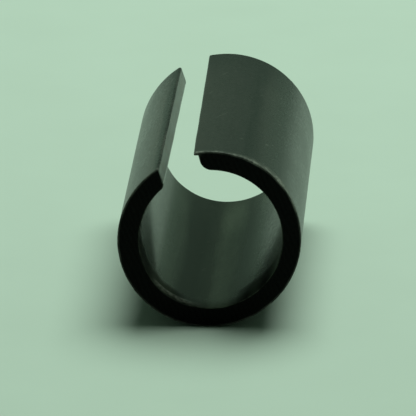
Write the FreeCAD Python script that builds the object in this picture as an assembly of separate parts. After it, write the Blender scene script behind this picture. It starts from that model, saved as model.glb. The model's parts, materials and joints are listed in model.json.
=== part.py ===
"""Split sleeve: a length of plastic tube with a slot sawn along it.

The slot lets the wall spring open over a rail, and the wall then grips and insulates it.

Frame: millimetres. The origin is on the bore's axis, half-way along the sleeve.
+Y runs along the bore, away from the wider end of the slot, and +Z is up.
The sleeve lies on its side, so its lowest line is one outer radius below the origin.
"""
import FreeCAD, Part
import math
import os

# Driving dimensions, in millimetres and degrees
OUTER_DIAMETER = 26.7
WALL = 2.85
LENGTH = 50.8
SLOT_ANGLE = 104.5         # direction of the saw's plane, turned from +X towards +Z
SLOT_OFFSET = 1.6          # the saw ran this far to the -X side of the axis
SLOT_WIDTH_NEAR = 5.9      # at the -Y end
SLOT_WIDTH_FAR = 4.9       # at the +Y end
LOW_LIP_ROUND = 1.0        # bore corner of the lip on the -X side of the slot
HIGH_LIP_ROUND = 1.5       # bore corner of the lip on the +X side of the slot
OUTER_LIP_ROUND = 0.3      # outer corner of both lips
END_CHAMFER = 0.25         # broken edge round each cut end

# Sizes that follow
OUTER_RADIUS = OUTER_DIAMETER / 2
BORE_RADIUS = OUTER_RADIUS - WALL
HALF_LENGTH = LENGTH / 2

ALONG_BORE = FreeCAD.Vector(0, 1, 0)


def tube():
    """The plain tube, with the edges of both ends broken inside and outside."""
    profile = [
        (BORE_RADIUS + END_CHAMFER, -HALF_LENGTH),
        (OUTER_RADIUS - END_CHAMFER, -HALF_LENGTH),
        (OUTER_RADIUS, -HALF_LENGTH + END_CHAMFER),
        (OUTER_RADIUS, HALF_LENGTH - END_CHAMFER),
        (OUTER_RADIUS - END_CHAMFER, HALF_LENGTH),
        (BORE_RADIUS + END_CHAMFER, HALF_LENGTH),
        (BORE_RADIUS, HALF_LENGTH - END_CHAMFER),
        (BORE_RADIUS, -HALF_LENGTH + END_CHAMFER),
    ]
    points = [FreeCAD.Vector(radius, y, 0) for radius, y in profile]
    wire = Part.makePolygon(points + points[:1])
    return Part.Face(wire).revolve(FreeCAD.Vector(), ALONG_BORE, 360)


def slot_cutter():
    """A tapered blade, parallel to the saw's plane, that leaves two flat slot faces."""
    overrun = 1.0
    growth = (SLOT_WIDTH_FAR - SLOT_WIDTH_NEAR) / 2 / LENGTH * overrun
    half_near = SLOT_WIDTH_NEAR / 2 - growth
    half_far = SLOT_WIDTH_FAR / 2 + growth
    reach = HALF_LENGTH + overrun
    plan = [
        FreeCAD.Vector(0, -reach, SLOT_OFFSET - half_near),
        FreeCAD.Vector(0, -reach, SLOT_OFFSET + half_near),
        FreeCAD.Vector(0, reach, SLOT_OFFSET + half_far),
        FreeCAD.Vector(0, reach, SLOT_OFFSET - half_far),
    ]
    outline = Part.Face(Part.makePolygon(plan + plan[:1]))
    blade = outline.extrude(FreeCAD.Vector(OUTER_DIAMETER, 0, 0))
    blade.rotate(FreeCAD.Vector(), ALONG_BORE, -SLOT_ANGLE)
    return blade


def lip_edges(solid, radius):
    """The edges where the slot faces meet the cylinder of that radius, -X side first."""
    slot_direction = FreeCAD.Vector(math.cos(math.radians(SLOT_ANGLE)), 0,
                                    math.sin(math.radians(SLOT_ANGLE)))
    found = []
    for edge in solid.Edges:
        middle = edge.valueAt((edge.FirstParameter + edge.LastParameter) / 2)
        across = FreeCAD.Vector(middle.x, 0, middle.z)
        on_cylinder = abs(across.Length - radius) < 0.01
        beside_slot = across.dot(slot_direction) > 0.8 * radius
        runs_along = edge.Length > LENGTH / 2
        if on_cylinder and beside_slot and runs_along:
            found.append(edge)
    return sorted(found, key=lambda edge: edge.CenterOfMass.x)


def split_sleeve():
    """The tube sawn open, with the corners of both lips rounded."""
    sleeve = tube().cut(slot_cutter())
    low_lip = lip_edges(sleeve, BORE_RADIUS)[0]
    sleeve = sleeve.makeFillet(LOW_LIP_ROUND, [low_lip])
    high_lip = lip_edges(sleeve, BORE_RADIUS)[-1]
    sleeve = sleeve.makeFillet(HIGH_LIP_ROUND, [high_lip])
    return sleeve.makeFillet(OUTER_LIP_ROUND, lip_edges(sleeve, OUTER_RADIUS))


os.makedirs("parts", exist_ok=True)
shape = split_sleeve()
shape.exportStep("parts/split_sleeve.step")
print("split_sleeve: valid", shape.isValid(), "solids", len(shape.Solids),
      "volume %.1f mm3" % shape.Volume)
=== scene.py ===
import json
import math

import bmesh
import bpy
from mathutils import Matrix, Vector, noise


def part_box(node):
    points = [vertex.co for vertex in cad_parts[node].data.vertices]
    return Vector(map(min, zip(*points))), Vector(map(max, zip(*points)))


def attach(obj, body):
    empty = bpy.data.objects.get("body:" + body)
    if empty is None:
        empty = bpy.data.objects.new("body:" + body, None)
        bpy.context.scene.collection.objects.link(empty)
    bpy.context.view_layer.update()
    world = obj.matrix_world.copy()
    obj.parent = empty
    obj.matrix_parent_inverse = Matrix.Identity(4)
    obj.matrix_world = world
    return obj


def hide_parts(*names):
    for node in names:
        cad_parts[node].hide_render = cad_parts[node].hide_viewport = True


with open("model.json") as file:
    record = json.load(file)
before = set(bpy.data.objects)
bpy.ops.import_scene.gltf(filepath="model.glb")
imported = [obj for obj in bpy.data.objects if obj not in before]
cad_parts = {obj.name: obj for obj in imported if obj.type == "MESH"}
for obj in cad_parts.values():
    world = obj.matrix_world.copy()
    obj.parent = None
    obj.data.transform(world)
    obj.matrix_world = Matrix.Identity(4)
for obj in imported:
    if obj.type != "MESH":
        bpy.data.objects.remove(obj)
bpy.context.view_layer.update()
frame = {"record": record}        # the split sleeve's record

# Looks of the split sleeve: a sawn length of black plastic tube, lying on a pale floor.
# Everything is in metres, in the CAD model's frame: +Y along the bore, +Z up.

MM = 0.001

# ---------------------------------------------------------------- sizes
NODE = "split_sleeve"
MOUNTS = {mount["name"]: mount for mount in frame["record"]["mounts"]}
LOW_CORNER, HIGH_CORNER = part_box(NODE)
OUTER_RADIUS = (HIGH_CORNER.x - LOW_CORNER.x) / 2 - 0.01 * MM   # clear of the CAD model's box
BORE_RADIUS = MOUNTS["rail_bore"]["dims"]["r_mm"] * MM
HALF_LENGTH = (HIGH_CORNER.y - LOW_CORNER.y) / 2
FLOOR_HEIGHT = LOW_CORNER.z

SLOT_ANGLE = math.radians(104.5)   # direction of the saw's plane, turned from +X towards +Z
SLOT_OFFSET = 1.6 * MM             # the saw ran this far to the -X side of the axis
SLOT_NEAR = 5.9 * MM               # slot width at the -Y end
SLOT_FAR = 4.9 * MM                # slot width at the +Y end
OUTER_LIP_ROUND = 0.3 * MM
LOW_LIP_ROUND = 1.0 * MM           # bore corner of the -X lip
HIGH_LIP_ROUND = 1.8 * MM          # bore corner of the +X lip
HIGH_LIP_BACK = 0.32 * MM          # how far that lip's face stands back from the saw's plane
BURR_TIP = 0.3 * MM                # how far a fin left by the saw stands out along its outer edge
BURR_SHARE = (0.02, 0.14)          # part of the flat of the face that is the fin: tip, root

# How the tube and the saw's cuts stray from true
OVAL = 0.13 * MM                   # how far the tube is drawn out towards +X +Z and -X -Z
BORE_SHIFT = Vector((0.12, 0.02)) * MM   # the bore lies this far off the centre, in X and Z
BORE_SWELL = 0.2 * MM              # how much the bore bulges in along its -X side
SWELL_SPREAD = math.radians(50)    # how far round from -X the bulge runs
ARM_SAG = 0.23 * MM                # how far the -X arm has sprung in, at its lip and -Y end
ARM_END = math.radians(85)         # how far round from the slot that arm bends
ARM_BEND = math.radians(65)        # the stretch, up to there, over which it bends
SAW_WANDER = 0.05 * MM             # slow sideways drift of the slot's faces
WANDER_PITCH = 7 * MM              # how far apart its bends are
SAW_CHATTER = 0.02 * MM            # and the quick ripple on it
CHATTER_PITCH = 1.1 * MM           # and the ripple's

# Edges of the sawn ends
END_ROUND = 0.13 * MM              # worn edge round each sawn end
END_RAGGED = 0.5                   # how much that varies round the edge
END_GRAIN = 2.5 * MM               # the length over which it varies
TORN_ROUND = 0.08 * MM             # extra rounding where the saw broke out of the +X lip
TORN_REACH = 0.7 * MM              # how far from the lip's corner it goes
NECK_HEIGHT = 0.07 * MM            # how much the lower half of the bore closes in at the -Y mouth
NECK_DEPTH = 4.0 * MM              # how far along the bore that goes

# The saw rolled the bore's edge in at the -Y mouth, over this stretch from +X towards +Z
ROLL_START = math.radians(217)
ROLL_END = math.radians(266)
ROLL_RISE = math.radians(6)        # the stretch over which it starts
ROLL_FADE = math.radians(26)       # and over which it ends
ROLL_HEIGHT = 0.25 * MM            # how far it stands into the bore
ROLL_DEPTH = 2.2 * MM              # how far along the bore the rolled edge runs

# How pale the edges round both sawn ends, the torn lip and the -Y end's outer rim are painted, if
# the roll is 1: a painted highlight where these edges catch the light, with some wear
EDGE_WEAR_AND_HIGHLIGHT = 0.22                   # all round both sawn ends
TORN_HIGHLIGHT = 0.6
RIM_HIGHLIGHT = 0.42                    # where the rim's painted highlight is faintest
RIM_DEPTH = 0.8 * MM               # how far back the rim's painted highlight reaches
RIM_MOST = math.radians(46)        # where it is brightest, from +X towards +Z
RIM_SPREAD = math.radians(38)      # how far round from there
RIM_PALER = 1.4                    # share by which the rim's painted highlight is paler where it is brightest
RIM_DEEPER = 1.5                   # share by which it reaches further back there
RIM_GRAIN = 1.6 * MM               # size of the patches in it
RIM_MEAN = 0.7                     # their mean, next to the values above
RIM_RAGGED = 0.9                   # and how far they stray from it

# Dust and painted sheen by the angle round the bore axis: degrees from +X towards +Z, and how
# much is painted there; the pale bands are partly dust and partly painted reflections along the
# plastic
BORE_DUST_AND_SHEEN = ((-180, 0.05), (-152, 0.05), (-140, 0.40), (-126, 0.38), (-117, 0.00),
             (-103, 0.00), (-94, 0.15), (-84, 0.90), (-76, 0.90), (-70, 0.35), (-66, 0.00),
             (-60, 0.05), (-53, 0.60), (-45, 0.00), (-36, 0.00), (-30, 0.60), (-20, 0.60),
             (-12, 0.00), (180, 0.05))
SKIN_DUST_AND_SHEEN = ((-180, 0.20), (44, 0.15), (57, 0.45), (62, 0.15), (66, 0.00), (70, 0.15),
             (76, 0.22), (96, 0.40), (118, 1.00), (122, 0.95), (124, 0.00), (128, 0.00),
             (131, 1.00), (136, 0.70), (143, 0.20), (180, 0.20))
DUST_AND_SHEEN_THINNED = 15 * MM             # how far in from each end the dust and painted sheen thin out, darker towards both ends
DUST_AND_SHEEN_LEFT_FAR = 0.15               # the share of it left right at the +Y end
DUST_AND_SHEEN_LEFT_NEAR = 0.7               # and right at the -Y end
DUST_AND_SHEEN_RAGGED = 0.12                 # how far the bands' edges wander, in radians

# Colours and gloss of the drawn plastic: dark and light are its streaks, and side_dull is
# roughness added over SIDE_DULL, on the +X side
# The third colour of each look is painted for dust and for painted sheen
SKIN_LOOK = {"dark": (0.002, 0.003, 0.003), "light": (0.007, 0.009, 0.008),
             "dust_and_sheen": (0.064, 0.060, 0.054), "roughness": 0.27, "side_dull": 0.0,
             "specular": 0.22, "tint": (0.96, 1.0, 0.96)}
BORE_LOOK = {"dark": (0.001, 0.002, 0.001), "light": (0.006, 0.007, 0.005),
             "dust_and_sheen": (0.170, 0.205, 0.150), "roughness": 0.19, "side_dull": 0.09,
             "specular": 0.12, "tint": (0.80, 1.0, 0.72)}
SIDE_DULL = (4 * MM, 9 * MM)       # where that starts, and where it is full
SPECK_COLOUR = (0.07, 0.07, 0.06)
# Pale colour painted on worn places, and as a painted highlight on edges that catch the light
WORN_AND_HIGHLIGHT_COLOUR = (0.25, 0.25, 0.22)
WEAR_DULL = 0.35                   # roughness added where the plastic is worn or scuffed

# Where the drawn plastic is dull at its -Y end
SCUFF_DEPTH = 4 * MM               # how far back the low side is scuffed
SCUFF_HEIGHT = -5.5 * MM           # and up to which height
SCUFF_BLUR = 1.5 * MM              # how softly it ends there
# The mouth is torn dull low down: side, depth, height it reaches up to, added roughness
TORN_DULL = ((1, 7 * MM, -4.5 * MM, 0.36), (-1, 5 * MM, 0.0, 0.42))
TORN_SIDE = (3.5 * MM, 6.0 * MM)   # how far to the side it starts, and where it is full
TORN_BLUR = 1 * MM                 # how softly it ends upwards
TORN_FADE = 2 * MM                 # the last stretch of its depth, over which it ends
TORN_RAGGED = 1.5 * MM             # how far that end wanders

# Colours of the sawn ends, the slot's faces and the floor
# The sawn ends' black is darker than the plastic's own: painted shade, for ends that lie in shade
SAWN_SHADED_DARK = (0.0012, 0.0016, 0.0012)
SAWN_SHADED_LIGHT = (0.0060, 0.0070, 0.0060)
# Pale colour painted on the sawn ends' edges, for wear and as a painted highlight
SAWN_WORN_AND_HIGHLIGHT = (0.20, 0.20, 0.18)
SLOT_DARK = (0.060, 0.070, 0.062)
SLOT_LIGHT = (0.165, 0.190, 0.165)
SLOT_GRIME = (0.105, 0.094, 0.070)
FLOOR_DARK = (0.625, 0.700, 0.640)
FLOOR_LIGHT = (0.660, 0.740, 0.680)

# Light: one lamp, and dim light all round, whose strengths low down, high up, in front and
# behind are multiplied
LAMP_PLACE = (0.10, 0.29, 0.82)
LAMP_SIZE = 0.75
LAMP_POWER = 7.15
LAMP_COLOUR = (0.80, 1.0, 0.84)
DIM_COLOUR = (0.62, 1.0, 0.70)
DIM_LOW = 0.28
DIM_HIGH = 0.185
DIM_FRONT = 0.15
DIM_BEHIND = 1.3

# Camera, placed by the point it looks at
CAMERA_TARGET = Vector((-1.536, 0, -3.382)) * MM
CAMERA_DISTANCE = 0.7816
CAMERA_AZIMUTH = math.radians(3.12)        # turned from -Y towards +X
CAMERA_ELEVATION = math.radians(17.88)
FOCAL_LENGTH = 452.2                       # in millimetres, on a sensor 36 mm wide
SENSOR_WIDTH = 36

# Mesh steps
CORNER_STEPS = 6                   # round a lip's corner
ARC_STEPS = 120                    # from a lip to the side opposite the slot
WALL_STEPS = 14                    # across the wall
MOUTH_STEPS = 10                   # along the first stretch at the -Y end
MOUTH_STRETCH = 2.5 * MM           # how long that stretch is
LENGTH_STEPS = 72                  # along the rest
END_STEPS = 6                      # round the edge of a sawn end


# ---------------------------------------------------------------- sleeve outline
def steps(start, end, count):
    """Evenly spaced values from start to end, both included."""
    return [start + (end - start) * i / count for i in range(count + 1)]


def smooth(value):
    """0 below 0, 1 above 1, and an S-curve between."""
    value = min(max(value, 0.0), 1.0)
    return value * value * (3 - 2 * value)


def lip_to_keel(radius, gap, rounding, outside):
    """Half of one wall surface: (across, outward) points in the slot's own plane.

    It runs from the slot face, round the lip's corner, to the side opposite the slot.
    """
    reach = radius - rounding if outside else radius + rounding
    across = gap + rounding
    outward = math.sqrt(reach ** 2 - across ** 2)
    tangent = math.atan2(across, outward)
    corner_end = tangent if outside else tangent - math.pi
    corner = [(across + rounding * math.sin(a), outward + rounding * math.cos(a))
              for a in steps(-math.pi / 2, corner_end, CORNER_STEPS)]
    arc = [(radius * math.sin(a), radius * math.cos(a))
           for a in steps(tangent, math.pi, ARC_STEPS)]
    return corner + arc[1:]


def wall_path(radius, gaps, rounds, outside):
    """One wall surface from the high lip round to the low lip."""
    high = lip_to_keel(radius, gaps[1], rounds[1], outside)
    low = lip_to_keel(radius, gaps[0], rounds[0], outside)
    return high + [(-across, outward) for across, outward in reversed(low[:-1])]


def lip_face(start, end, burr=0.0):
    """The points between the two corners of a slot face, with a burr at the end corner."""
    tip, root = BURR_SHARE
    points = []
    for s in steps(0, 1, WALL_STEPS)[1:-1]:
        across = start[0] + (end[0] + burr - start[0]) * s
        fin = burr * smooth((s - 1 + root) / (root - tip))
        points.append((across - fin, start[1] + (end[1] - start[1]) * s))
    return points


def roll_share(from_x, y):
    """How much of the rolled edge there is at an angle round the bore and a place along it."""
    starting = smooth((from_x - ROLL_START) / ROLL_RISE)
    ending = smooth((ROLL_END - from_x) / ROLL_FADE)
    depth = (y + HALF_LENGTH) / ROLL_DEPTH
    # It swells just behind the cut and dies away over the last two thirds of its depth
    return starting * ending * smooth(depth + 0.3) * smooth(1.5 - 1.5 * depth)


def slot_gaps(y):
    """Distance of the low and the high lip from the axis, across, as the saw left them."""
    share = (y + HALF_LENGTH) / (2 * HALF_LENGTH)
    half = (SLOT_NEAR + (SLOT_FAR - SLOT_NEAR) * share) / 2
    gaps = []
    for side, noise_row in ((1, 0.3), (-1, 5.7)):    # far apart, so the faces differ
        wander = noise.noise(Vector((y / WANDER_PITCH, noise_row, 0)))
        chatter = noise.noise(Vector((y / CHATTER_PITCH, noise_row, 3)))
        saw = SAW_WANDER * wander + SAW_CHATTER * chatter
        gaps.append(half + side * SLOT_OFFSET + saw)
    return gaps


def section_loop(y):
    """The wall's closed outline: outside, low lip, back along the bore, high lip."""
    low, high = slot_gaps(y)
    torn = TORN_ROUND * smooth(1 - (y + HALF_LENGTH) / TORN_REACH)
    outer = wall_path(OUTER_RADIUS, (low, high - BURR_TIP),
                      (OUTER_LIP_ROUND, OUTER_LIP_ROUND + torn), True)
    bore = wall_path(BORE_RADIUS, (low, high + HIGH_LIP_BACK - BORE_SHIFT.x),
                     (LOW_LIP_ROUND, HIGH_LIP_ROUND), False)
    bore = [bore_place(point, y) for point in bore]
    high_face = lip_face(bore[0], outer[0], BURR_TIP + HIGH_LIP_BACK)
    return outer + lip_face(outer[-1], bore[-1]) + bore[::-1] + high_face


def inset(loop, distances):
    """The closed loop with each point moved into the wall by its own distance."""
    moved = []
    for i, (across, outward) in enumerate(loop):
        before = loop[i - 1]
        after = loop[(i + 1) % len(loop)]
        run = Vector((after[0] - before[0], after[1] - before[1])).normalized()
        moved.append((across + run.y * distances[i], outward - run.x * distances[i]))
    return moved


def arm_share(point, y):
    """1 at the low lip's -Y end, falling to 0 down that arm and along the sleeve."""
    across, outward = point
    from_slot = math.atan2(-across, outward)
    if from_slot < 0:
        return 0.0
    arm = smooth((ARM_END - from_slot) / ARM_BEND)
    near = smooth((HALF_LENGTH - y) / (2 * HALF_LENGTH))
    return arm * near


def bore_place(point, y):
    """A point of the bore: a little off centre, bulging in at -X and rolled in at the mouth."""
    cosine, sine = math.cos(SLOT_ANGLE), math.sin(SLOT_ANGLE)
    across = point[0] + BORE_SHIFT.x * sine - BORE_SHIFT.y * cosine
    outward = point[1] + BORE_SHIFT.x * cosine + BORE_SHIFT.y * sine
    from_x = (SLOT_ANGLE - math.atan2(across, outward)) % (2 * math.pi)
    swell = BORE_SWELL * smooth(1 - abs(from_x - math.pi) / SWELL_SPREAD)
    to_neck = max(1 - (y + HALF_LENGTH) / NECK_DEPTH, 0)
    low_half = smooth(-1.5 * math.sin(from_x))    # full from 42 degrees below the axis
    neck = NECK_HEIGHT * to_neck ** 2 * low_half
    rolled_in = ROLL_HEIGHT * roll_share(from_x, y)
    scale = 1 - (swell + neck + rolled_in) / BORE_RADIUS
    return across * scale, outward * scale


def sprung(point, y):
    """The point with the tube a little oval, and the low arm sprung in near the -Y end."""
    from_x = SLOT_ANGLE - math.atan2(point[0], point[1])
    oval = OVAL * math.sin(2 * from_x)
    scale = 1 + (oval - ARM_SAG * arm_share(point, y)) / OUTER_RADIUS
    return point[0] * scale, point[1] * scale


def in_frame(point, y):
    """A point of the slot's own plane, sprung, and put in the CAD model's frame."""
    across, outward = sprung(point, y)
    cosine, sine = math.cos(SLOT_ANGLE), math.sin(SLOT_ANGLE)
    return Vector((across * sine + outward * cosine, y, outward * sine - across * cosine))


# ---------------------------------------------------------------- sleeve mesh
def end_ring(side, turn):
    """One ring of the rounded edge at an end: turn 0 at the side wall, 90 degrees at the cut."""
    loop = section_loop(side * HALF_LENGTH)
    torn_corner = Vector(loop[0])
    rounds = []
    for point in loop:
        distance = (Vector(point) - torn_corner).length
        torn = TORN_ROUND * smooth(1 - distance / TORN_REACH) if side < 0 else 0
        place = Vector((*point, side * HALF_LENGTH)) / END_GRAIN
        rounds.append(END_ROUND * (1 + END_RAGGED * noise.noise(place)) + torn)
    shrunk = inset(loop, [r * (1 - math.cos(turn)) for r in rounds])
    return [in_frame(point, side * (HALF_LENGTH - r * (1 - math.sin(turn))))
            for point, r in zip(shrunk, rounds)]


def highlit_and_rubbed(point):
    """How pale a point is painted, as a painted highlight: on the rolled edge inside, or on the
    rim outside.
    """
    if math.hypot(point.x, point.z) < (OUTER_RADIUS + BORE_RADIUS) / 2:
        return roll_share(math.atan2(point.z, point.x) % (2 * math.pi), point.y)
    from_most = abs(math.atan2(point.z, point.x) - RIM_MOST)
    most = smooth(1 - from_most / RIM_SPREAD)
    ragged = RIM_MEAN + RIM_RAGGED * noise.noise(point / RIM_GRAIN)
    depth = (point.y + HALF_LENGTH) / (RIM_DEPTH * (1 + RIM_DEEPER * most))
    return RIM_HIGHLIGHT * (1 + RIM_PALER * most) * ragged * smooth(1.3 - depth)


def sleeve_rings():
    """Rings of points from the -Y cut to the +Y cut, and how pale each point is painted, for wear
    and painted highlight.
    """
    clear = END_ROUND * (1 + END_RAGGED) + TORN_ROUND
    turns = steps(math.pi / 2, 0, END_STEPS)
    mouth = steps(-HALF_LENGTH + clear, -HALF_LENGTH + MOUTH_STRETCH, MOUTH_STEPS)
    lengthwise = mouth + steps(mouth[-1], HALF_LENGTH - clear, LENGTH_STEPS)[1:]
    # Each sawn end's rounded edge is painted pale midway round it, a painted highlight with some
    # wear
    rings = [(end_ring(-1, turn), EDGE_WEAR_AND_HIGHLIGHT * math.sin(2 * turn)) for turn in turns]
    rings += [([in_frame(point, y) for point in section_loop(y)], 0.0) for y in lengthwise]
    rings += [(end_ring(1, turn), EDGE_WEAR_AND_HIGHLIGHT * math.sin(2 * turn)) for turn in reversed(turns)]
    return [(ring, [max(worn_and_highlit, highlit_and_rubbed(point)) for point in ring]) for ring, worn_and_highlit in rings]


PATH_POINTS = 2 * (CORNER_STEPS + ARC_STEPS) + 1    # points of one wall surface
LIP_POINTS = WALL_STEPS - 1                         # points of a slot face, between those
LOOP_POINTS = 2 * (PATH_POINTS + LIP_POINTS)        # points of the whole closed outline
LIP_BLEND = 2 * CORNER_STEPS       # rows of a cut face that follow the shape of the lip
SKIN, BORE, SAWN, SLOT = 0, 1, 2, 3    # material slots, in the order that fills them below


def loop_place(i, j):
    """Index in the loop of cut-face place i along the wall and j across it, or None inside."""
    if j == 0:
        return i
    if j == WALL_STEPS:
        return 2 * PATH_POINTS + LIP_POINTS - 1 - i
    if i == PATH_POINTS - 1:
        return PATH_POINTS + j - 1
    if i == 0:
        return LOOP_POINTS - j
    return None


def cut_face(points, ring_start, faces, slots):
    """Closes an end with a grid of small faces that follows the shape of the +X lip."""
    lip_outer = points[ring_start]
    lip_bore = points[ring_start + loop_place(0, WALL_STEPS)]
    grid = []
    for i in range(PATH_POINTS):
        outer = points[ring_start + i]
        bore = points[ring_start + loop_place(i, WALL_STEPS)]
        like_lip = 1 - smooth(i / LIP_BLEND)
        row = []
        for j in range(WALL_STEPS + 1):
            place = loop_place(i, j)
            if place is None:
                share = j / WALL_STEPS
                hollow = points[ring_start + loop_place(0, j)] - lip_outer.lerp(lip_bore, share)
                points.append(outer.lerp(bore, share) + hollow * like_lip)
                row.append(len(points) - 1)
            else:
                row.append(ring_start + place)
        grid.append(row)
    for i in range(PATH_POINTS - 1):
        for j in range(WALL_STEPS):
            faces.append((grid[i][j], grid[i + 1][j], grid[i + 1][j + 1], grid[i][j + 1]))
            slots.append(SAWN)


def surface_of(k):
    """Which surface the loop's edge from point k on belongs to."""
    bore_start = PATH_POINTS + LIP_POINTS
    bore_end = bore_start + PATH_POINTS - 1
    if k < PATH_POINTS - 1:
        return SKIN
    return BORE if bore_start <= k < bore_end else SLOT


def build_sleeve():
    """The whole sleeve as one closed mesh, with a value at each point for wear and painted
    highlight.
    """
    rings = sleeve_rings()
    points, faces, slots, wear_and_highlight = [], [], [], []
    for ring, worn_and_highlit in rings:
        points += ring
        wear_and_highlight += worn_and_highlit
    for r in range(len(rings) - 1):
        for k in range(LOOP_POINTS):
            after = (k + 1) % LOOP_POINTS
            here, there = r * LOOP_POINTS, (r + 1) * LOOP_POINTS
            faces.append((here + k, here + after, there + after, there + k))
            slots.append(surface_of(k))
    cut_face(points, 0, faces, slots)
    cut_face(points, (len(rings) - 1) * LOOP_POINTS, faces, slots)
    wear_and_highlight += [0.0] * (len(points) - len(wear_and_highlight))
    torn_corner = points[0]
    # The torn lip's corner is painted pale, a painted highlight
    torn = [TORN_HIGHLIGHT * smooth(1.4 - (point - torn_corner).length / TORN_REACH)
            for point in points]
    wear_and_highlight = [max(pair) for pair in zip(wear_and_highlight, torn)]

    mesh = bpy.data.meshes.new("sleeve")
    mesh.from_pydata(points, [], faces)
    mesh.polygons.foreach_set("material_index", slots)
    mesh.polygons.foreach_set("use_smooth", [True] * len(faces))
    attribute = mesh.attributes.new("wear_and_highlight", "FLOAT", "POINT")
    attribute.data.foreach_set("value", wear_and_highlight)
    cleaner = bmesh.new()
    cleaner.from_mesh(mesh)
    bmesh.ops.recalc_face_normals(cleaner, faces=cleaner.faces)
    cleaner.to_mesh(mesh)
    cleaner.free()
    piece = bpy.data.objects.new("sleeve", mesh)
    bpy.context.scene.collection.objects.link(piece)
    return piece


# ---------------------------------------------------------------- materials
def feed(tree, socket, value):
    """Gives an input its value: a link from another node's socket, or a constant."""
    if isinstance(value, bpy.types.NodeSocket):
        tree.links.new(value, socket)
    else:
        socket.default_value = value


def add(tree, kind, inputs=None, **settings):
    """A node with its settings, and with each named input fed a constant or a socket."""
    made = tree.nodes.new(kind)
    for name, value in settings.items():
        setattr(made, name, value)
    for name, value in (inputs or {}).items():
        feed(tree, made.inputs[name], value)
    return made


def new_material(name):
    """An empty material: its tree, its Principled shader and its object coordinates."""
    material = bpy.data.materials.new(name)
    material.use_nodes = True
    tree = material.node_tree
    shader = tree.nodes["Principled BSDF"]
    place = add(tree, "ShaderNodeTexCoord").outputs["Object"]
    return material, tree, shader, place


def stretched(tree, place, scale, turn=(0, 0, 0)):
    """Coordinates multiplied by a scale for each axis, after a turn in degrees."""
    turned = add(tree, "ShaderNodeMapping",
                 {"Vector": place, "Rotation": [math.radians(a) for a in turn]})
    mapped = add(tree, "ShaderNodeMapping",
                 {"Vector": turned.outputs["Vector"], "Scale": scale})
    return mapped.outputs["Vector"]


def clouds(tree, place, scale, detail, roughness=0.5):
    """Noise, as a socket from 0 to 1."""
    made = add(tree, "ShaderNodeTexNoise",
               {"Vector": place, "Scale": scale, "Detail": detail, "Roughness": roughness})
    return made.outputs["Fac"]


def ranged(tree, value, low, high, out_low=0.0, out_high=1.0):
    """A value remapped from one range to another, and held inside it."""
    made = add(tree, "ShaderNodeMapRange",
               {"Value": value, "From Min": low, "From Max": high,
                "To Min": out_low, "To Max": out_high})
    return made.outputs["Result"]


def maths(tree, operation, first, second):
    """Two numbers, or sockets, put through one operation."""
    made = add(tree, "ShaderNodeMath", operation=operation)
    feed(tree, made.inputs[0], first)
    feed(tree, made.inputs[1], second)
    return made.outputs["Value"]


def blend(tree, factor, first, second):
    """Two colours mixed by a factor; each is a socket or (r, g, b)."""
    made = add(tree, "ShaderNodeMix", {"Factor": factor}, data_type="RGBA")
    for socket, colour in ((made.inputs[6], first), (made.inputs[7], second)):
        feed(tree, socket, (*colour, 1.0) if isinstance(colour, tuple) else colour)
    return made.outputs[2]


def bump(tree, height, distance, strength, normal=None):
    """Small relief, with its depth in metres, on top of any relief passed as normal."""
    inputs = {"Height": height, "Distance": distance, "Strength": strength}
    if normal is not None:
        inputs["Normal"] = normal
    return add(tree, "ShaderNodeBump", inputs).outputs["Normal"]


def wear_and_highlight_at(tree):
    """The mesh's value at the point for wear and painted highlight."""
    return add(tree, "ShaderNodeAttribute", attribute_name="wear_and_highlight").outputs["Fac"]


def dust_and_sheen_round(tree, place, axes, lay):
    """How much dust and painted sheen is painted at each angle round the bore axis, with ragged
    edges to its bands.
    """
    angle = maths(tree, "ARCTAN2", axes["Z"], axes["X"])
    ragged = clouds(tree, stretched(tree, place, (500, 60, 500)), 1.0, 4.0, 0.6)
    shifted = maths(tree, "ADD", angle, ranged(tree, ragged, 0.0, 1.0,
                                                 -DUST_AND_SHEEN_RAGGED, DUST_AND_SHEEN_RAGGED))
    turn = ranged(tree, shifted, -math.pi, math.pi)
    ramp = add(tree, "ShaderNodeValToRGB", {"Fac": turn})
    marks = ramp.color_ramp.elements
    for mark, (degrees, amount) in zip(marks, (lay[0], lay[-1])):
        mark.position = (degrees + 180) / 360
        mark.color = (amount, amount, amount, 1)
    for degrees, amount in lay[1:-1]:
        marks.new((degrees + 180) / 360).color = (amount, amount, amount, 1)
    return ramp.outputs["Color"]


def torn_mouth(tree, axes, patches):
    """Roughness added where the -Y mouth is torn dull, low on both sides."""
    added = 0.0
    ragged = ranged(tree, patches, 0.3, 0.7, -TORN_RAGGED, TORN_RAGGED)
    from_mouth = maths(tree, "ADD", maths(tree, "ADD", axes["Y"], HALF_LENGTH), ragged)
    for side, depth, height, amount in TORN_DULL:
        sideways = maths(tree, "MULTIPLY", axes["X"], side)
        beside = ranged(tree, sideways, *TORN_SIDE, 0.0, amount)
        below = ranged(tree, axes["Z"], height + TORN_BLUR, height - TORN_BLUR)
        near = ranged(tree, from_mouth, depth, depth - TORN_FADE)
        part = maths(tree, "MULTIPLY", maths(tree, "MULTIPLY", beside, below), near)
        added = maths(tree, "ADD", part, added)
    return added


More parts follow.
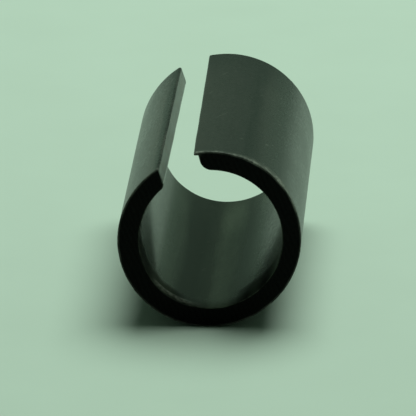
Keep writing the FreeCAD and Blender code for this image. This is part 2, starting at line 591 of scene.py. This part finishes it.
def drawn_colour(tree, place, axes, grains, wear_and_highlight, lay, look):
    """Streaked plastic, then bands of dust and painted sheen, specks, short scratches, and pale
    places painted for wear and as painted highlights.
    """
    bands, streaks, specks, patches = grains
    lengthwise = maths(tree, "ADD", maths(tree, "MULTIPLY", bands, 0.7),
                       maths(tree, "MULTIPLY", streaks, 0.3))
    base = blend(tree, ranged(tree, lengthwise, 0.38, 0.62), look["dark"], look["light"])
    far_left = ranged(tree, axes["Y"], HALF_LENGTH - DUST_AND_SHEEN_THINNED, HALF_LENGTH,
                      1.0, DUST_AND_SHEEN_LEFT_FAR)
    near_left = ranged(tree, axes["Y"], DUST_AND_SHEEN_THINNED - HALF_LENGTH, -HALF_LENGTH,
                       1.0, DUST_AND_SHEEN_LEFT_NEAR)
    left = maths(tree, "MULTIPLY", far_left, near_left)
    patchy = maths(tree, "MULTIPLY", ranged(tree, patches, 0.3, 0.7, 0.6, 1.1), left)
    # Pale bands of dust and painted sheen, thinned towards both ends
    dust_and_sheen_share = maths(tree, "MULTIPLY", dust_and_sheen_round(tree, place, axes, lay), patchy)
    dust_and_sheen_laid = blend(tree, dust_and_sheen_share, base, look["dust_and_sheen"])
    speckled = blend(tree, ranged(tree, specks, 0.52, 0.80, 0.0, 0.4), dust_and_sheen_laid, SPECK_COLOUR)

    slanting = stretched(tree, place, (1300, 90, 1300), (0, 0, 28))
    scratches = clouds(tree, slanting, 1.0, 2.0, 0.5)
    uneven = maths(tree, "MULTIPLY", ranged(tree, patches, 0.35, 0.6, 0.6, 1.0),
                   ranged(tree, specks, 0.40, 0.60, 0.35, 1.45))
    # Pale places painted for wear and as painted highlights, broken up
    highlit_and_rubbed = maths(tree, "MULTIPLY", wear_and_highlight, uneven)
    worn_and_highlit = maths(tree, "MAXIMUM", highlit_and_rubbed, ranged(tree, scratches, 0.70, 0.80, 0.0, 0.35))
    return blend(tree, worn_and_highlit, speckled, WORN_AND_HIGHLIGHT_COLOUR)


def drawn_roughness(tree, axes, grains, wear_and_highlight, look):
    """The look's roughness, uneven, and more where the plastic is worn, scuffed or torn."""
    specks, patches = grains[2:]
    at_mouth = ranged(tree, axes["Y"], SCUFF_DEPTH - HALF_LENGTH, -HALF_LENGTH)
    low_down = ranged(tree, axes["Z"], SCUFF_HEIGHT + SCUFF_BLUR, SCUFF_HEIGHT - SCUFF_BLUR)
    scuffed = maths(tree, "MULTIPLY", at_mouth, low_down)
    parts = (
        maths(tree, "MULTIPLY", maths(tree, "MAXIMUM", wear_and_highlight, scuffed), WEAR_DULL),
        ranged(tree, axes["X"], *SIDE_DULL, 0.0, look["side_dull"]),
        torn_mouth(tree, axes, patches),
        ranged(tree, specks, 0.3, 0.7, -0.04, 0.04),
    )
    rough = ranged(tree, patches, 0.35, 0.75, look["roughness"], look["roughness"] + 0.05)
    for part in parts:
        rough = maths(tree, "ADD", rough, part)
    return rough


def drawn_material(name, lay, look):
    """Drawn black plastic: long streaks along the tube, under bands of thin dust and painted
    sheen.

    lay says how much dust and painted sheen is painted at which angle, and look holds the colours
    and the gloss.
    """
    material, tree, shader, place = new_material(name)
    # Scales count patches to the metre, so a low one along Y draws the patches out
    bands = clouds(tree, stretched(tree, place, (260, 5, 260)), 1.0, 1.5, 0.5)
    streaks = clouds(tree, stretched(tree, place, (900, 12, 900)), 1.0, 3.0, 0.6)
    specks = clouds(tree, place, 2000.0, 3.0, 0.6)
    patches = clouds(tree, stretched(tree, place, (150, 60, 150)), 1.0, 4.0, 0.6)
    grains = (bands, streaks, specks, patches)
    axes = add(tree, "ShaderNodeSeparateXYZ", {"Vector": place}).outputs
    wear_and_highlight = wear_and_highlight_at(tree)
    tree.links.new(drawn_colour(tree, place, axes, grains, wear_and_highlight, lay, look),
                   shader.inputs["Base Color"])
    tree.links.new(drawn_roughness(tree, axes, grains, wear_and_highlight, look), shader.inputs["Roughness"])
    shader.inputs["Specular IOR Level"].default_value = look["specular"]
    shader.inputs["Specular Tint"].default_value = (*look["tint"], 1)
    wavy = bump(tree, bands, 0.05 * MM, 0.5)
    drawn = bump(tree, streaks, 0.008 * MM, 0.6, wavy)
    tree.links.new(bump(tree, specks, 0.005 * MM, 0.6, drawn), shader.inputs["Normal"])
    return material


def sawn_material():
    """The sawn ends: dull and nearly black, the black partly painted shade, with close curved saw
    marks.
    """
    material, tree, shader, place = new_material("black_plastic_sawn")
    turned = stretched(tree, place, (1, 1, 1), (0, 24, 0))
    marks = add(tree, "ShaderNodeTexWave",
                {"Vector": turned, "Scale": 420.0, "Distortion": 3.0, "Detail": 3.0,
                 "Detail Scale": 0.6}, bands_direction="X").outputs["Fac"]
    grain = clouds(tree, place, 2600.0, 4.0, 0.7)
    # Near-black plastic, darkened further as painted shade
    colour = blend(tree, ranged(tree, grain, 0.4, 0.8), SAWN_SHADED_DARK, SAWN_SHADED_LIGHT)
    # The sawn ends' edges are painted pale, for wear and as a painted highlight
    tree.links.new(blend(tree, wear_and_highlight_at(tree), colour, SAWN_WORN_AND_HIGHLIGHT), shader.inputs["Base Color"])
    tree.links.new(ranged(tree, marks, 0.0, 1.0, 0.62, 0.78), shader.inputs["Roughness"])
    shader.inputs["Specular IOR Level"].default_value = 0.06
    relief = bump(tree, marks, 0.03 * MM, 0.5)
    tree.links.new(bump(tree, grain, 0.02 * MM, 0.5, relief), shader.inputs["Normal"])
    return material


def slot_material():
    """The slot's faces: a rubbed cut, lighter and smoother than the ends, with brown grime."""
    material, tree, shader, place = new_material("black_plastic_slot")
    marks = add(tree, "ShaderNodeTexWave",
                {"Vector": place, "Scale": 500.0, "Distortion": 4.0, "Detail": 3.0},
                bands_direction="Y").outputs["Fac"]
    drag = clouds(tree, stretched(tree, place, (1200, 60, 1200)), 1.0, 3.0, 0.6)
    blotches = clouds(tree, stretched(tree, place, (700, 350, 700)), 1.0, 3.0, 0.6)
    colour = blend(tree, ranged(tree, drag, 0.35, 0.7), SLOT_DARK, SLOT_LIGHT)
    grimy = blend(tree, ranged(tree, blotches, 0.50, 0.62, 0.0, 0.8), colour, SLOT_GRIME)
    tree.links.new(grimy, shader.inputs["Base Color"])
    tree.links.new(ranged(tree, marks, 0.0, 1.0, 0.3, 0.45), shader.inputs["Roughness"])
    relief = bump(tree, marks, 0.012 * MM, 0.4)
    tree.links.new(bump(tree, drag, 0.012 * MM, 0.5, relief), shader.inputs["Normal"])
    return material


def floor_material():
    """Plain pale backdrop paper."""
    material, tree, shader, place = new_material("pale_floor")
    mottle = clouds(tree, place, 60.0, 3.0)
    tree.links.new(blend(tree, mottle, FLOOR_DARK, FLOOR_LIGHT), shader.inputs["Base Color"])
    shader.inputs["Roughness"].default_value = 0.9
    shader.inputs["Specular IOR Level"].default_value = 0.2
    return material


# ---------------------------------------------------------------- studio
def make_floor():
    """A wide flat floor at the sleeve's lowest line."""
    half = 15.0
    corners = [(-half, -half), (half, -half), (half, half), (-half, half)]
    mesh = bpy.data.meshes.new("floor")
    mesh.from_pydata([(x, y, FLOOR_HEIGHT) for x, y in corners], [], [(0, 1, 2, 3)])
    mesh.materials.append(floor_material())
    floor = bpy.data.objects.new("floor", mesh)
    bpy.context.scene.collection.objects.link(floor)


def put_facing(piece, direction):
    """Adds a lamp or the camera to the scene, turned to face along a direction."""
    piece.rotation_euler = direction.to_track_quat("-Z", "Y").to_euler()
    bpy.context.scene.collection.objects.link(piece)


def make_lamp():
    """One broad soft lamp above and behind, facing the sleeve."""
    lamp = bpy.data.lights.new("softbox", "AREA")
    lamp.shape = "DISK"
    lamp.size = LAMP_SIZE
    lamp.energy = LAMP_POWER
    lamp.color = LAMP_COLOUR
    softbox = bpy.data.objects.new("softbox", lamp)
    softbox.location = LAMP_PLACE
    put_facing(softbox, -softbox.location)


def make_dim_light():
    """Dim light from all round, strongest low down and behind, and weakest in front."""
    world = bpy.data.worlds.new("studio")
    world.use_nodes = True
    tree = world.node_tree
    background = tree.nodes["Background"]
    background.inputs["Color"].default_value = (*DIM_COLOUR, 1)
    direction = add(tree, "ShaderNodeTexCoord").outputs["Generated"]
    # Each axis of the direction runs from -1 to 1, so 0 in Z is the horizon
    axes = add(tree, "ShaderNodeSeparateXYZ", {"Vector": direction}).outputs
    by_height = ranged(tree, axes["Z"], 0.0, 0.24, DIM_LOW, DIM_HIGH)
    by_depth = ranged(tree, axes["Y"], -0.3, 0.9, DIM_FRONT, DIM_BEHIND)
    tree.links.new(maths(tree, "MULTIPLY", by_height, by_depth),
                   background.inputs["Strength"])
    bpy.context.scene.world = world


def make_camera():
    """A long lens from in front, a little to the right and above."""
    lens = bpy.data.cameras.new("camera")
    lens.sensor_width = SENSOR_WIDTH
    lens.lens = FOCAL_LENGTH
    lens.clip_end = 100
    camera = bpy.data.objects.new("camera", lens)
    ahead = Vector((-math.sin(CAMERA_AZIMUTH) * math.cos(CAMERA_ELEVATION),
                    math.cos(CAMERA_AZIMUTH) * math.cos(CAMERA_ELEVATION),
                    -math.sin(CAMERA_ELEVATION)))
    camera.location = CAMERA_TARGET - ahead * CAMERA_DISTANCE
    put_facing(camera, ahead)
    bpy.context.scene.camera = camera


bpy.context.scene.view_settings.view_transform = "Standard"
make_camera()
make_lamp()
make_dim_light()
make_floor()

sleeve = build_sleeve()
for material in (drawn_material("black_plastic_skin", SKIN_DUST_AND_SHEEN, SKIN_LOOK),
                 drawn_material("black_plastic_bore", BORE_DUST_AND_SHEEN, BORE_LOOK),
                 sawn_material(), slot_material()):
    sleeve.data.materials.append(material)
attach(sleeve, "root")
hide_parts(NODE)
